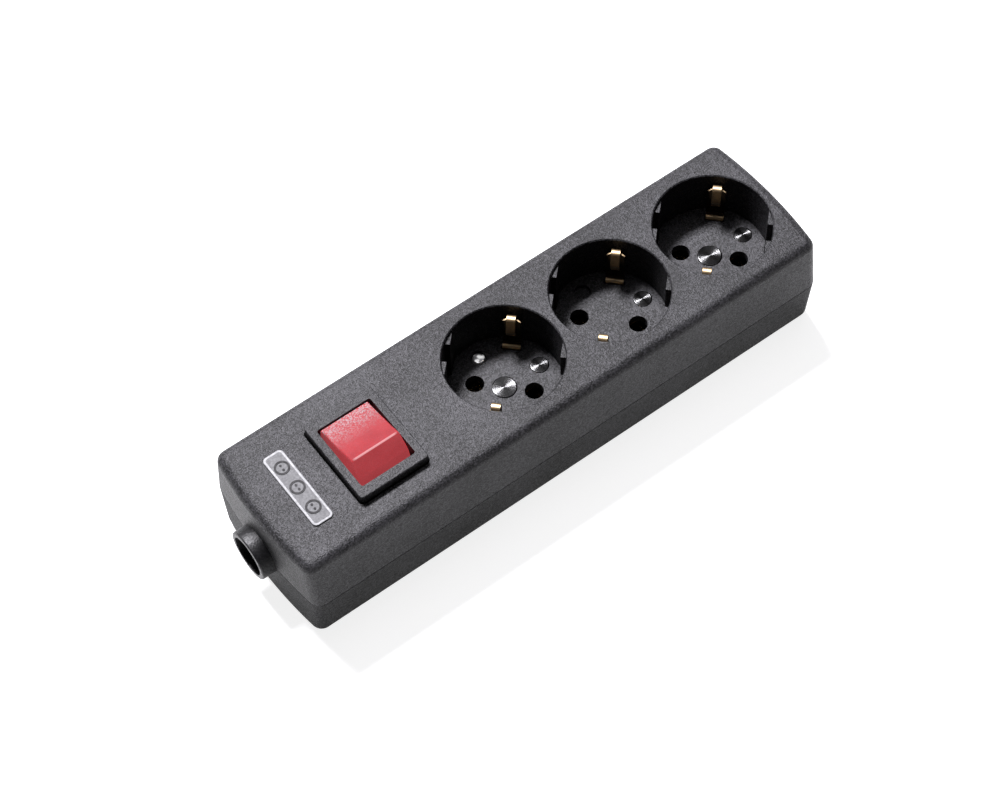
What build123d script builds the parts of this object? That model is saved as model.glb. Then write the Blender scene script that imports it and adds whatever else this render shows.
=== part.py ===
"""Three-gang desk power strip with a two-pole rocker switch and a cord inlet at one end.

Millimetres. The origin is the centre of the face it rests on, +X runs along the strip away from
the cord inlet, +Y points to the back and +Z up.
"""

from build123d import *
import math
import os

os.makedirs("parts", exist_ok=True)

# Housing outline, as half sizes at three heights
HEIGHT = 40.0
SEAM_Z = 20.0
TOP_HALF = (99.9, 25.5)
SEAM_HALF = (100.5, 28.0)
BOTTOM_HALF = (100.2, 26.3)
END_RADIUS = 165.0
CORNER_R = 3.8
INNER_CORNER = 2.2
TOP_FILLET = 3.3
BOTTOM_FILLET = 3.3
WALL = 2.2
PLATE = 2.5
LIP_H = 0.9
LIP_T = 1.2
LIP_ROOT = 2.0
LIP_SINK = 0.4
LIP_PLAY = 0.3
LIP_CORNER = 2.0
GAP = 0.1
SEAM_GROOVE = 0.35

# Badge and underside relief
BADGE_X = -84.3
BADGE = (7.2, 29.0)
BADGE_CORNER = 1.6
BADGE_SINK = 0.4
BADGE_T = 0.9
BADGE_EDGE = 0.25
MARK_STEP = 8.4
MARK_R = (2.5, 1.8)
MARK_DOT_R = 0.42
MARK_DOT_AT = 0.85
MARK_T = 0.15
FIELD = (62.0, 30.0)
FIELD_LINE = 0.8
FIELD_DEEP = 0.5
GRIP_X = 62.0
GRIP_STEP = 4.0
GRIP_SLOT = (26.0, 1.6)
GRIP_DEEP = 0.6

# Sockets
SOCKET_X = (-7.35, 34.35, 76.05)
WELL_R = 19.4
WELL_DEPTH = 17.5
WELL_WALL = 1.5
WELL_RIM = 0.35
GUIDE_CHORD = 17.4
GUIDE_SLOT = 6.5
GUIDE_DROP = 1.3
WELL_SPAN = 60.0
PIN_PITCH = 19.0
PIN_HOLE_R = 3.05
PIN_ANGLE = -45.0
CLIP_ANGLE = 45.0
FLOOR_T = 3.0
FLOOR_R = 19.2
FLANGE_R = 20.5
FLANGE_T = 1.4
SIDE_HEAD_AT = 13.85
CENTRE_HEAD_R = 4.0
CENTRE_HEAD_H = 1.1
CENTRE_SHANK_R = 1.5
CENTRE_SHANK_L = 5.2
SIDE_HEAD_R = 3.0
SIDE_HEAD_H = 1.0
SIDE_SHANK_R = 1.25
HEAD_SEAT = 0.8
RECESS_R = 2.8
RECESS_DEEP = 1.6
SCREW_HEAD_R = 2.1
SCREW_HEAD_H = 1.5
SCREW_HEAD_EDGE = 0.6
FLOOR_Z = HEIGHT - WELL_DEPTH
FLOOR_UNDER = FLOOR_Z - FLOOR_T

# Earth clips
CLIP_W = 6.0
CLIP_T = 0.8
CLIP_R = 17.2
CLIP_TOP = 35.4
CLIP_BEND = 0.9
CLIP_IN = 14.9
LEDGE_Z = FLOOR_Z + CLIP_T / 2 + 0.05
CLIP_SLOT = 1.6
CLIP_PLAY = 0.3
TONGUE_W = 3.0
TONGUE_T = 0.7
TONGUE_TOP = 37.2
TONGUE_ROOT = 1.0
TONGUE_BEND = 0.7
TONGUE_FOLD = ((1.5, 0.0), (2.8, 4.6), (1.7, 7.8))
STRAP_Z = FLOOR_UNDER - 0.6

# Switch
SWITCH_X = -59.65
SWITCH_Y = -0.8
BEZEL = (25.0, 31.2)
BEZEL_CORNER = 1.2
BEZEL_EDGE = 0.4
BEZEL_H = 3.2
WINDOW = (19.7, 24.3)
WINDOW_CORNER = 0.8
SWITCH_BODY = (22.0, 28.2)
SWITCH_FLOOR = 17.0
SWITCH_FLOOR_T = 2.0
BODY_WALL = 1.0
LATCH_W = 8.0
LATCH_GAP = 0.2
LATCH_OUT = 1.2
LATCH_DROP = 6.0
PIVOT_Z = HEIGHT - 6.3
TILT = 14.5
TRUNNION_R = 1.5
TRUNNION_L = 2.6
BEARING_PLAY = 0.05
POLE_OFFSET = 5.2
SEESAW_TILT = 5.0
SEESAW_Z = 24.3
TAB_W = 6.3
TAB_T = 0.8
TAB_LOW = 6.5
TAB_STEP = 8.0

# Cord inlet
INLET_R = 8.5
INLET_BORE_R = 6.8
CORD_HOLE_R = 4.6
INLET_TIP = -105.0
INLET_STEP = -98.0
INLET_END = -93.0
FLANGE_HALF = 10.5
FLANGE_X = -97.6
INLET_FLANGE_T = 2.0
INLET_EDGE = 0.5
INLET_PLAY = 0.05
INLET_ROOM = 7.0
SEAT_FROM = -110.0
SEAT_L = 18.0

# Fasteners
POSTS = ((-92.0, 18.5), (-37.0, 19.0), (92.2, 18.5))
POST_TOP = 14.0
POST_R = 5.0
BOSS_R = 4.0
HEAD_SINK = 6.0
HEAD_R = 3.2
SHANK_R = 1.45
SHANK_L = 17.0
SHANK_PLAY = 0.35
HEAD_H = 2.4
HEAD_PLAY = 0.3
CROSS = (3.8, 0.9)
CROSS_DEEP = 1.4
CROSS_TAPER = 12

# Current carriers
BAR_Y = 10.4
BAR_X = (-20.0, 88.8)
BAR_Z = (7.0, 15.0)
BAR_T = 1.0
CONTACT_LOW = 8.0
CONTACT_H = 7.6
CONTACT_T = 0.5
CONTACT_DEEP = 6.4
CONTACT_MOUTH = 3.2
CONTACT_WAIST = 2.7
CONTACT_ROOT = 2.9
CONTACT_BEND = 0.5
EARTH_BAR_Z = (17.3, 18.4)
EARTH_BAR_W = 6.0
TERMINAL_X = (-90.0, -78.0)
TERMINAL_STEP = 8.8
WIRE_R = 1.2
WIRE_BEND = 2.2


def export(builder, name):
    """Label one finished piece and write it to its own STEP file."""
    builder.part.label = name
    export_step(builder.part, f"parts/{name}.step")


def outline(half, inset, corner):
    """Rectangle with bowed ends and rounded corners, drawn in the current sketch."""
    half_x, half_y = half[0] - inset, half[1] - inset
    bow = half[1] ** 2 / (2 * END_RADIUS)
    with BuildLine() as rim:
        Line((-half_x + bow, half_y), (half_x - bow, half_y))
        ThreePointArc((half_x - bow, half_y), (half_x, 0), (half_x - bow, -half_y))
        Line((half_x - bow, -half_y), (-half_x + bow, -half_y))
        ThreePointArc((-half_x + bow, -half_y), (-half_x, 0), (-half_x + bow, half_y))
    make_face(rim.edges())
    fillet(vertices(), radius=corner)


def half_at(z, low_z, low, high_z, high):
    """Half sizes of a drafted wall at height z."""
    share = (z - low_z) / (high_z - low_z)
    return tuple(a + (b - a) * share for a, b in zip(low, high))


def post_points():
    """Centres of the six case screws."""
    return [(x, side * y) for x, y in POSTS for side in (1, -1)]


def polar(radius, angle):
    """Point at a radius and an angle in degrees."""
    return (radius * math.cos(math.radians(angle)), radius * math.sin(math.radians(angle)))


# ---------------------------------------------------------------- housing shells
inner_top = HEIGHT - PLATE
inner_half = half_at(inner_top, SEAM_Z, SEAM_HALF, HEIGHT, TOP_HALF)
well_bottom = FLOOR_UNDER + FLANGE_T + GAP

with BuildPart() as upper_housing:
    with BuildSketch(Plane.XY.offset(SEAM_Z)):
        outline(SEAM_HALF, 0, CORNER_R)
    with BuildSketch(Plane.XY.offset(HEIGHT)):
        outline(TOP_HALF, 0, CORNER_R)
    loft(ruled=True)
    fillet(upper_housing.faces().sort_by(Axis.Z)[-1].edges(), radius=TOP_FILLET)
    with BuildSketch(Plane.XY.offset(SEAM_Z)):
        outline(SEAM_HALF, WALL, INNER_CORNER)
    with BuildSketch(Plane.XY.offset(inner_top)):
        outline(inner_half, WALL, INNER_CORNER)
    loft(ruled=True, mode=Mode.SUBTRACT)
    # Well walls hang from the top plate
    for x in SOCKET_X:
        with BuildSketch(Plane.XY.offset(well_bottom)):
            with Locations((x, 0)):
                Circle(WELL_R + WELL_WALL)
        extrude(until=Until.NEXT)
    # Screw bosses
    with BuildSketch(Plane.XY.offset(POST_TOP + GAP)):
        with Locations(*post_points()):
            Circle(BOSS_R)
    extrude(amount=inner_top - POST_TOP)
    with BuildSketch(Plane.XY.offset(POST_TOP)):
        with Locations(*post_points()):
            Circle(SHANK_R)
    extrude(amount=SHANK_L - HEAD_SINK + 1, mode=Mode.SUBTRACT)
    # Wells, with the two slotted guide blocks left standing on each
    for x in SOCKET_X:
        with BuildSketch(Plane.XY.offset(well_bottom - 1)):
            with Locations((x, 0)):
                Circle(WELL_R)
        extrude(amount=HEIGHT, mode=Mode.SUBTRACT)
    for x in SOCKET_X:
        with BuildSketch(Plane.XY.offset(well_bottom)):
            with Locations((x, 0)):
                Circle(WELL_R + 0.2)
                Rectangle(2 * GUIDE_CHORD, WELL_SPAN, rotation=PIN_ANGLE, mode=Mode.SUBTRACT)
                Rectangle(WELL_SPAN, GUIDE_SLOT, rotation=PIN_ANGLE, mode=Mode.SUBTRACT)
        extrude(amount=HEIGHT - GUIDE_DROP - well_bottom)
    # Broken top edge of each well
    with BuildSketch(Plane.XY.offset(HEIGHT)):
        with Locations(*[(x, 0) for x in SOCKET_X]):
            Circle(WELL_R + WELL_RIM)
    extrude(amount=-WELL_RIM, taper=45, mode=Mode.SUBTRACT)
    # Switch cut-out
    with BuildSketch(Plane.XY.offset(inner_top - 1)):
        with Locations((SWITCH_X, SWITCH_Y)):
            Rectangle(SWITCH_BODY[0] + 2 * GAP, SWITCH_BODY[1] + 2 * GAP)
    extrude(amount=2 * PLATE, mode=Mode.SUBTRACT)
    # Shallow pocket for the badge
    with BuildSketch(Plane.XY.offset(HEIGHT - BADGE_SINK)):
        with Locations((BADGE_X, 0)):
            RectangleRounded(BADGE[0] + GAP, BADGE[1] + GAP, BADGE_CORNER + GAP / 2)
    extrude(amount=BADGE_T, mode=Mode.SUBTRACT)
    # Half seat of the cord inlet
    with BuildSketch(Plane.YZ.offset(SEAT_FROM)):
        with Locations((0, SEAM_Z)):
            Circle(INLET_R + INLET_PLAY)
    extrude(amount=SEAT_L, mode=Mode.SUBTRACT)
export(upper_housing, "upper_housing")

with BuildPart() as base_cover:
    with BuildSketch():
        outline(BOTTOM_HALF, 0, CORNER_R)
    with BuildSketch(Plane.XY.offset(SEAM_Z)):
        outline(SEAM_HALF, 0, CORNER_R)
    loft(ruled=True)
    fillet(base_cover.faces().sort_by(Axis.Z)[0].edges(), radius=BOTTOM_FILLET)
    floor_half = half_at(PLATE, 0, BOTTOM_HALF, SEAM_Z, SEAM_HALF)
    with BuildSketch(Plane.XY.offset(PLATE)):
        outline(floor_half, WALL, INNER_CORNER)
    with BuildSketch(Plane.XY.offset(SEAM_Z)):
        outline(SEAM_HALF, WALL, INNER_CORNER)
    loft(ruled=True, mode=Mode.SUBTRACT)
    # Locating lip inside the upper housing, interrupted at the bosses and at the inlet
    with BuildSketch(Plane.XY.offset(SEAM_Z - LIP_ROOT)):
        outline(SEAM_HALF, WALL - LIP_SINK, INNER_CORNER)
        lip_inner = offset(amount=-LIP_T - LIP_SINK - LIP_PLAY, mode=Mode.PRIVATE)
        add(lip_inner, mode=Mode.SUBTRACT)
    extrude(amount=LIP_ROOT)
    with BuildSketch(Plane.XY.offset(SEAM_Z)):
        outline(SEAM_HALF, WALL + LIP_PLAY, LIP_CORNER)
        add(lip_inner, mode=Mode.SUBTRACT)
    extrude(amount=LIP_H)
    with BuildSketch(Plane.XY.offset(SEAM_Z - LIP_ROOT)):
        with Locations(*post_points()):
            Circle(BOSS_R + LIP_PLAY)
        with Locations((INLET_STEP + INLET_ROOM / 2, 0)):
            Rectangle(INLET_ROOM, 2 * FLANGE_HALF + 1)
    extrude(amount=LIP_ROOT + LIP_H, mode=Mode.SUBTRACT)
    # Shadow groove along the seam
    with BuildSketch(Plane.XY.offset(SEAM_Z - SEAM_GROOVE)):
        outline(SEAM_HALF, -1, CORNER_R)
        outline_in = offset(amount=-1 - SEAM_GROOVE, mode=Mode.PRIVATE)
        add(outline_in, mode=Mode.SUBTRACT)
    extrude(amount=SEAM_GROOVE, mode=Mode.SUBTRACT)
    # Screw posts with sunk heads
    with BuildSketch(Plane.XY.offset(1)):
        with Locations(*post_points()):
            Circle(POST_R)
    extrude(amount=POST_TOP - 1)
    with Locations(*[Location((x, y, 0), (180, 0, 0)) for x, y in post_points()]):
        CounterBoreHole(SHANK_R + SHANK_PLAY, HEAD_R + HEAD_PLAY, HEAD_SINK, depth=POST_TOP + 1)
    # Half seat of the cord inlet
    with BuildSketch(Plane.YZ.offset(SEAT_FROM)):
        with Locations((0, SEAM_Z)):
            Circle(INLET_R + INLET_PLAY)
    extrude(amount=SEAT_L, mode=Mode.SUBTRACT)
    # Framed field and grip grooves on the underside
    with BuildSketch():
        RectangleRounded(FIELD[0], FIELD[1], 2 * FIELD_LINE)
        RectangleRounded(FIELD[0] - 2 * FIELD_LINE, FIELD[1] - 2 * FIELD_LINE, FIELD_LINE, mode=Mode.SUBTRACT)
    extrude(amount=FIELD_DEEP, mode=Mode.SUBTRACT)
    with BuildSketch():
        with GridLocations(GRIP_STEP, 0, 5, 1):
            with Locations((-GRIP_X, 0), (GRIP_X, 0)):
                SlotOverall(GRIP_SLOT[0], GRIP_SLOT[1], rotation=90)
    extrude(amount=GRIP_DEEP, mode=Mode.SUBTRACT)
export(base_cover, "base_cover")

with BuildPart() as case_screws:
    for x, y in post_points():
        with BuildSketch(Plane.XY.offset(HEAD_SINK)):
            with Locations((x, y)):
                Circle(SHANK_R)
        extrude(amount=SHANK_L)
        with BuildSketch(Plane.XY.offset(HEAD_SINK)):
            with Locations((x, y)):
                Circle(HEAD_R)
        extrude(amount=-HEAD_H)
        with BuildSketch(Plane.XY.offset(HEAD_SINK - HEAD_H)):
            with Locations((x, y)):
                Rectangle(*CROSS)
                Rectangle(CROSS[1], CROSS[0])
        extrude(amount=CROSS_DEEP, taper=CROSS_TAPER, mode=Mode.SUBTRACT)
export(case_screws, "case_screws")

with BuildPart() as cord_inlet_bush:
    with BuildSketch(Plane.YZ.offset(INLET_TIP)):
        with Locations((0, SEAM_Z)):
            Circle(INLET_R)
    extrude(amount=INLET_END - INLET_TIP)
    fillet(cord_inlet_bush.edges().sort_by(Axis.X)[0], radius=INLET_EDGE)
    with BuildSketch(Plane.YZ.offset(FLANGE_X)):
        with Locations((0, SEAM_Z)):
            Circle(FLANGE_HALF)
    extrude(amount=INLET_FLANGE_T)
    with BuildSketch(Plane.YZ.offset(INLET_TIP)):
        with Locations((0, SEAM_Z)):
            Circle(INLET_BORE_R)
    extrude(amount=INLET_STEP - INLET_TIP, mode=Mode.SUBTRACT)
    with BuildSketch(Plane.YZ.offset(INLET_STEP)):
        with Locations((0, SEAM_Z)):
            Circle(CORD_HOLE_R)
    extrude(amount=INLET_END - INLET_STEP, mode=Mode.SUBTRACT)
export(cord_inlet_bush, "cord_inlet_bush")

# ---------------------------------------------------------------- socket floors
pin_half = polar(PIN_PITCH / 2, PIN_ANGLE)
for number, x in enumerate(SOCKET_X, start=1):
    with BuildPart() as socket_floor:
        with BuildSketch(Plane.XY.offset(FLOOR_UNDER)):
            with Locations((x, 0)):
                Circle(FLANGE_R)
        extrude(amount=FLANGE_T)
        with BuildSketch(Plane.XY.offset(FLOOR_UNDER)):
            with Locations((x, 0)):
                Circle(FLOOR_R)
                Rectangle(2 * GUIDE_CHORD - 3 * GAP, WELL_SPAN, rotation=PIN_ANGLE, mode=Mode.INTERSECT)
        extrude(amount=FLOOR_T)
        # Pin holes
        with BuildSketch(Plane.XY.offset(FLOOR_Z)):
            with Locations((x + pin_half[0], pin_half[1]), (x - pin_half[0], -pin_half[1])):
                Circle(PIN_HOLE_R)
        extrude(amount=-FLOOR_T, mode=Mode.SUBTRACT)
        # Openings that the earth clip rises through
        for side in (1, -1):
            at = polar(side * CLIP_IN, CLIP_ANGLE)
            with BuildSketch(Plane.XY.offset(FLOOR_Z)):
                with Locations((x + at[0], at[1])):
                    Rectangle(CLIP_SLOT, CLIP_W + 2 * CLIP_PLAY, rotation=CLIP_ANGLE)
            extrude(amount=-FLOOR_T, mode=Mode.SUBTRACT)
        # Seats of the heads: centre on the outer sockets, side on all, back on the first two
        if number != 2:
            with BuildSketch(Plane.XY.offset(FLOOR_Z)):
                with Locations((x, 0)):
                    Circle(CENTRE_HEAD_R + GAP)
            extrude(amount=-HEAD_SEAT, mode=Mode.SUBTRACT)
            with BuildSketch(Plane.XY.offset(FLOOR_Z)):
                with Locations((x, 0)):
                    Circle(CENTRE_SHANK_R + GAP)
            extrude(amount=-FLOOR_T, mode=Mode.SUBTRACT)
        with BuildSketch(Plane.XY.offset(FLOOR_Z)):
            with Locations((x + SIDE_HEAD_AT, 0)):
                Circle(SIDE_HEAD_R + GAP)
        extrude(amount=-HEAD_SEAT, mode=Mode.SUBTRACT)
        with BuildSketch(Plane.XY.offset(FLOOR_Z)):
            with Locations((x + SIDE_HEAD_AT, 0)):
                Circle(SIDE_SHANK_R + GAP)
        extrude(amount=-FLOOR_T, mode=Mode.SUBTRACT)
        if number != 3:
            with BuildSketch(Plane.XY.offset(FLOOR_Z)):
                with Locations((x, SIDE_HEAD_AT)):
                    Circle(RECESS_R)
            extrude(amount=-RECESS_DEEP, mode=Mode.SUBTRACT)
    export(socket_floor, f"socket_floor_{number}")

with BuildPart() as centre_rivets:
    for x in (SOCKET_X[0], SOCKET_X[2]):
        with BuildSketch(Plane.XY.offset(FLOOR_Z - HEAD_SEAT)):
            with Locations((x, 0)):
                Circle(CENTRE_HEAD_R)
        extrude(amount=CENTRE_HEAD_H)
        with BuildSketch(Plane.XY.offset(FLOOR_Z - HEAD_SEAT)):
            with Locations((x, 0)):
                Circle(CENTRE_SHANK_R)
        extrude(amount=-CENTRE_SHANK_L)
export(centre_rivets, "centre_rivets")

with BuildPart() as side_rivets:
    for x in SOCKET_X:
        with BuildSketch(Plane.XY.offset(FLOOR_Z - HEAD_SEAT)):
            with Locations((x + SIDE_HEAD_AT, 0)):
                Circle(SIDE_HEAD_R)
        extrude(amount=SIDE_HEAD_H)
        with BuildSketch(Plane.XY.offset(FLOOR_Z - HEAD_SEAT)):
            with Locations((x + SIDE_HEAD_AT, 0)):
                Circle(SIDE_SHANK_R)
        extrude(amount=HEAD_SEAT - FLOOR_T)
export(side_rivets, "side_rivets")

with BuildPart() as floor_screw:
    with BuildSketch(Plane.XY.offset(FLOOR_Z - RECESS_DEEP)):
        with Locations((SOCKET_X[0], SIDE_HEAD_AT)):
            Circle(SCREW_HEAD_R)
    extrude(amount=SCREW_HEAD_H)
    fillet(floor_screw.edges().sort_by(Axis.Z)[-1], radius=SCREW_HEAD_EDGE)
export(floor_screw, "floor_screw")

# ---------------------------------------------------------------- earth clips
for number, x in enumerate(SOCKET_X, start=1):
    clip_x = polar(1, CLIP_ANGLE) + (0,)
    clip_out = polar(1, CLIP_ANGLE - 90) + (0,)
    centre = Plane(origin=(x, 0, 0), x_dir=clip_x, z_dir=clip_out)
    with BuildPart() as earth_clip:
        with BuildSketch(centre):
            with BuildLine():
                FilletPolyline(
                    (-CLIP_R, CLIP_TOP),
                    (-CLIP_R, LEDGE_Z),
                    (-CLIP_IN, LEDGE_Z),
                    (-CLIP_IN, STRAP_Z),
                    (CLIP_IN, STRAP_Z),
                    (CLIP_IN, LEDGE_Z),
                    (CLIP_R, LEDGE_Z),
                    (CLIP_R, CLIP_TOP),
                    radius=CLIP_BEND,
                )
            trace(line_width=CLIP_T)
        extrude(amount=CLIP_W / 2, both=True)
        with BuildSketch(centre):
            for side in (1, -1):
                with BuildLine():
                    FilletPolyline(
                        (side * CLIP_R, CLIP_TOP - TONGUE_ROOT),
                        (side * CLIP_R, TONGUE_TOP),
                        *[(side * (CLIP_R - inward), TONGUE_TOP - down) for inward, down in TONGUE_FOLD],
                        radius=TONGUE_BEND,
                    )
                trace(line_width=TONGUE_T)
        extrude(amount=TONGUE_W / 2, both=True)
        if number != 2:
            with BuildSketch(Plane.XY.offset(STRAP_Z - CLIP_T)):
                with Locations((x, 0)):
                    Circle(CENTRE_SHANK_R)
            extrude(amount=2 * CLIP_T, mode=Mode.SUBTRACT)
    export(earth_clip, f"earth_clip_{number}")

# ---------------------------------------------------------------- bars and pin contacts
bar_mid = sum(BAR_X) / 2
bar_length = BAR_X[1] - BAR_X[0]
for name, side in (("line_bar", 1), ("neutral_bar", -1)):
    with BuildPart() as bar:
        with BuildSketch(Plane.XY.offset(BAR_Z[0])):
            with Locations((bar_mid, side * BAR_Y)):
                Rectangle(bar_length, BAR_T)
        extrude(amount=BAR_Z[1] - BAR_Z[0])
    export(bar, name)

with BuildPart() as earth_bar:
    with BuildSketch(Plane.XY.offset(EARTH_BAR_Z[0])):
        with Locations((bar_mid, 0)):
            Rectangle(bar_length, EARTH_BAR_W)
        with Locations((SOCKET_X[0], 0), (SOCKET_X[2], 0)):
            Circle(CENTRE_SHANK_R, mode=Mode.SUBTRACT)
    extrude(amount=EARTH_BAR_Z[1] - EARTH_BAR_Z[0])
export(earth_bar, "earth_bar")

for name, side in (("line_contact", 1), ("neutral_contact", -1)):
    for number, x in enumerate(SOCKET_X, start=1):
        pin_x = x - side * pin_half[0]
        root_y = side * (BAR_Y - (BAR_T + CONTACT_T) / 2)
        tip_y = side * (BAR_Y - CONTACT_DEEP)
        waist_y = (root_y + tip_y) / 2
        with BuildPart() as pin_contact:
            with BuildSketch(Plane.XY.offset(CONTACT_LOW)):
                with BuildLine():
                    FilletPolyline(
                        (pin_x - CONTACT_MOUTH, tip_y),
                        (pin_x - CONTACT_WAIST, waist_y),
                        (pin_x - CONTACT_ROOT, root_y),
                        (pin_x + CONTACT_ROOT, root_y),
                        (pin_x + CONTACT_WAIST, waist_y),
                        (pin_x + CONTACT_MOUTH, tip_y),
                        radius=CONTACT_BEND,
                    )
                trace(line_width=CONTACT_T)
            extrude(amount=CONTACT_H)
        export(pin_contact, f"{name}_{number}")

# ---------------------------------------------------------------- switch
switch_at = Plane(origin=(SWITCH_X, SWITCH_Y, 0))
with BuildPart() as switch_frame:
    with BuildSketch(switch_at.offset(HEIGHT)):
        RectangleRounded(BEZEL[0], BEZEL[1], BEZEL_CORNER)
    extrude(amount=BEZEL_H)
    fillet(switch_frame.faces().sort_by(Axis.Z)[-1].edges(), radius=BEZEL_EDGE)
    with BuildSketch(switch_at.offset(SWITCH_FLOOR)):
        Rectangle(*SWITCH_BODY)
    extrude(amount=HEIGHT - SWITCH_FLOOR)
    with BuildSketch(switch_at.offset(SWITCH_FLOOR + SWITCH_FLOOR_T)):
        Rectangle(SWITCH_BODY[0] - 2 * BODY_WALL, SWITCH_BODY[1] - 2 * BODY_WALL)
    extrude(amount=HEIGHT - SWITCH_FLOOR, mode=Mode.SUBTRACT)
    with BuildSketch(switch_at.offset(HEIGHT)):
        RectangleRounded(WINDOW[0], WINDOW[1], WINDOW_CORNER)
    extrude(amount=BEZEL_H, mode=Mode.SUBTRACT)
    # Bearings of the rocker
    with BuildSketch(Plane.YZ.offset(SWITCH_X - SWITCH_BODY[0])):
        with Locations((SWITCH_Y, PIVOT_Z)):
            Circle(TRUNNION_R + BEARING_PLAY)
    extrude(amount=2 * SWITCH_BODY[0], mode=Mode.SUBTRACT)
    # Slots that the four tabs pass through
    with BuildSketch(switch_at.offset(SWITCH_FLOOR)):
        with Locations(*[(side * POLE_OFFSET, y) for side in (1, -1) for y in (0, -TAB_STEP)]):
            Rectangle(TAB_T, TAB_W)
    extrude(amount=SWITCH_FLOOR_T, mode=Mode.SUBTRACT)
    # Snap latches under the housing plate
    for side in (1, -1):
        with BuildSketch(Plane.YZ.offset(SWITCH_X - LATCH_W / 2)):
            with BuildLine():
                edge_y = SWITCH_Y + side * SWITCH_BODY[1] / 2
                Polyline(
                    (edge_y, inner_top - LATCH_GAP),
                    (edge_y + side * LATCH_OUT, inner_top - LATCH_GAP),
                    (edge_y, inner_top - LATCH_DROP),
                    close=True,
                )
            make_face()
        extrude(amount=LATCH_W)
export(switch_frame, "switch_frame")

tilt = math.radians(TILT)
rocker_side = Plane(
    origin=(SWITCH_X, SWITCH_Y, PIVOT_Z),
    x_dir=(0, math.cos(tilt), -math.sin(tilt)),
    z_dir=(1, 0, 0),
)
rocker_top = Plane(
    origin=(SWITCH_X, SWITCH_Y, PIVOT_Z),
    x_dir=(1, 0, 0),
    z_dir=(0, math.sin(tilt), math.cos(tilt)),
)
CAP_HALF = 8.65
CAP_H = 12.2
CAP_DISH = 0.45
CAP_SKIN = 1.9
SKIRT_HALF = 11.3
SKIRT_TOP = 5.95
SKIRT_FOOT = (11.0, 2.6)
KEEL = (4.0, -2.2)
ROCKER_HALF_W = 9.45
ROCKER_TAPER = 3.0
TAPER_LOW = -4.0
TAPER_BLOCK = (60.0, 20.0)
ROCKER_EDGE = 0.6
SHELL_T = 1.5
HOLLOW_IN = 1.2
HOLLOW_LOW = -6.0
TUBE_LOW = -1.0
TUBE_R = (2.3, 1.55)
TUBE_DEEP = 10.2
TRUNNION_ROOT = 1.0

with BuildPart() as switch_rocker:
    with BuildSketch(rocker_side):
        with BuildLine():
            ThreePointArc((-CAP_HALF, CAP_H), (0, CAP_H - CAP_DISH), (CAP_HALF, CAP_H))
            Polyline(
                (CAP_HALF, CAP_H),
                (SKIRT_HALF, SKIRT_TOP),
                SKIRT_FOOT,
                KEEL,
                (-KEEL[0], KEEL[1]),
                (-SKIRT_FOOT[0], SKIRT_FOOT[1]),
                (-SKIRT_HALF, SKIRT_TOP),
                (-CAP_HALF, CAP_H),
            )
        make_face()
    extrude(amount=ROCKER_HALF_W, both=True)
    with BuildSketch(rocker_top.offset(TAPER_LOW)):
        Rectangle(2 * ROCKER_HALF_W, TAPER_BLOCK[0])
    extrude(amount=TAPER_BLOCK[1], taper=ROCKER_TAPER, mode=Mode.INTERSECT)
    cap = switch_rocker.faces().sort_by(Axis(rocker_top.origin, rocker_top.z_dir))[-1]
    fillet(cap.edges(), radius=ROCKER_EDGE)
    # Hollow underneath
    with BuildSketch(rocker_side):
        with BuildLine():
            Polyline(
                (-CAP_HALF + HOLLOW_IN, CAP_H - CAP_SKIN),
                (CAP_HALF - HOLLOW_IN, CAP_H - CAP_SKIN),
                (SKIRT_HALF - SHELL_T, SKIRT_TOP),
                (SKIRT_HALF - SHELL_T, HOLLOW_LOW),
                (-SKIRT_HALF + SHELL_T, HOLLOW_LOW),
                (-SKIRT_HALF + SHELL_T, SKIRT_TOP),
                (-CAP_HALF + HOLLOW_IN, CAP_H - CAP_SKIN),
            )
        make_face()
    extrude(amount=ROCKER_HALF_W - SHELL_T, both=True, mode=Mode.SUBTRACT)
    # Guide tubes of the two plungers
    with BuildSketch(rocker_top.offset(TUBE_LOW)):
        with Locations((POLE_OFFSET, 0), (-POLE_OFFSET, 0)):
            Circle(TUBE_R[0])
    extrude(amount=CAP_H)
    with BuildSketch(rocker_top.offset(TUBE_LOW)):
        with Locations((POLE_OFFSET, 0), (-POLE_OFFSET, 0)):
            Circle(TUBE_R[1])
    extrude(amount=TUBE_DEEP, mode=Mode.SUBTRACT)
    # Trunnions
    for side in (1, -1):
        with BuildSketch(rocker_side.offset(side * (ROCKER_HALF_W - TRUNNION_ROOT))):
            Circle(TRUNNION_R)
        extrude(amount=side * TRUNNION_L)
export(switch_rocker, "switch_rocker")

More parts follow.
